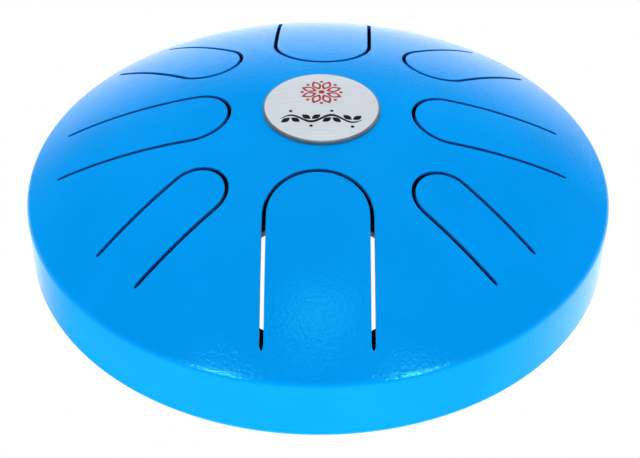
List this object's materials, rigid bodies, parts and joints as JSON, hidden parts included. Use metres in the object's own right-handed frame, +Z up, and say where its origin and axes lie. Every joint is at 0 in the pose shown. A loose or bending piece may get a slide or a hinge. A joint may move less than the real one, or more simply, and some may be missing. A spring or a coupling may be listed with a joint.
{
  "type": "steel tongue drum",
  "caption": "Round steel tongue drum: two pressed shells, sprung tongues cut in the domed top, a central badge, a sound hole underneath and rubber feet.",
  "frame": {"origin": "on the drum's axis, on the surface that its feet stand on", "axes": "+Z up along the drum's axis, -Y towards the player, where the longest tongue is, +X to the player's right"},
  "size_m": [0.3, 0.3, 0.1266],
  "materials": {
    "blue_powder_coat": "satin powder coat with a fine orange-peel surface",
    "brushed_steel": "straight brushed",
    "adhesive": "matte, cured",
    "black_rubber": "matte moulded rubber",
    "zinc_steel": "bright zinc plate"
  },
  "bodies": {
    "shell": {"upper_shell": "blue_powder_coat", "lower_shell": "blue_powder_coat", "seam_sealant": "adhesive", "sound_hole_trim": "black_rubber", "badge_plate": "brushed_steel", "badge_adhesive": "adhesive", "foot_1": "black_rubber", "foot_2": "black_rubber", "foot_3": "black_rubber", "foot_4": "black_rubber", "foot_screw_1": "zinc_steel", "foot_screw_2": "zinc_steel", "foot_screw_3": "zinc_steel", "foot_screw_4": "zinc_steel", "foot_washer_1": "zinc_steel", "foot_washer_2": "zinc_steel", "foot_washer_3": "zinc_steel", "foot_washer_4": "zinc_steel", "foot_nut_1": "zinc_steel", "foot_nut_2": "zinc_steel", "foot_nut_3": "zinc_steel", "foot_nut_4": "zinc_steel"},
    "front_tongue": {"tongue_front": "blue_powder_coat"},
    "front_right_tongue": {"tongue_front_right": "blue_powder_coat"},
    "right_tongue": {"tongue_right": "blue_powder_coat"},
    "back_right_tongue": {"tongue_back_right": "blue_powder_coat"},
    "back_tongue": {"tongue_back": "blue_powder_coat"},
    "back_left_tongue": {"tongue_back_left": "blue_powder_coat"},
    "left_tongue": {"tongue_left": "blue_powder_coat"},
    "front_left_tongue": {"tongue_front_left": "blue_powder_coat"}
  },
  "joints": [
    {"name": "front_flex", "type": "hinge", "parent": "shell", "child": "front_tongue", "pos_m": [0, -0.1355, 0.08706], "axis": [1, 0, 0], "range_deg": [-1, 1], "stiffness_Nm_per_rad": 206},
    {"name": "front_right_flex", "type": "hinge", "parent": "shell", "child": "front_right_tongue", "pos_m": [0.09475, -0.08531, 0.09161], "axis": [0.6691, 0.7431, 0], "range_deg": [-1, 1], "stiffness_Nm_per_rad": 172},
    {"name": "right_flex", "type": "hinge", "parent": "shell", "child": "right_tongue", "pos_m": [0.12546, 0.00329, 0.09269], "axis": [-0.0262, 0.9997, 0], "range_deg": [-1, 1], "stiffness_Nm_per_rad": 170},
    {"name": "back_right_flex", "type": "hinge", "parent": "shell", "child": "back_right_tongue", "pos_m": [0.09974, 0.09465, 0.08586], "axis": [-0.6884, 0.7254, 0], "range_deg": [-1, 1], "stiffness_Nm_per_rad": 186},
    {"name": "back_flex", "type": "hinge", "parent": "shell", "child": "back_tongue", "pos_m": [0.00348, 0.13295, 0.08851], "axis": [-0.9997, 0.0262, 0], "range_deg": [-1, 1], "stiffness_Nm_per_rad": 214},
    {"name": "back_left_flex", "type": "hinge", "parent": "shell", "child": "back_left_tongue", "pos_m": [-0.09758, 0.09758, 0.08556], "axis": [-0.7071, -0.7071, 0], "range_deg": [-1, 1], "stiffness_Nm_per_rad": 170},
    {"name": "left_flex", "type": "hinge", "parent": "shell", "child": "left_tongue", "pos_m": [-0.13242, 0.00462, 0.08881], "axis": [-0.0349, -0.9994, 0], "range_deg": [-1, 1], "stiffness_Nm_per_rad": 150},
    {"name": "front_left_flex", "type": "hinge", "parent": "shell", "child": "front_left_tongue", "pos_m": [-0.09661, -0.08699, 0.09022], "axis": [0.6691, -0.7431, 0], "range_deg": [-1, 1], "stiffness_Nm_per_rad": 159}
  ]
}
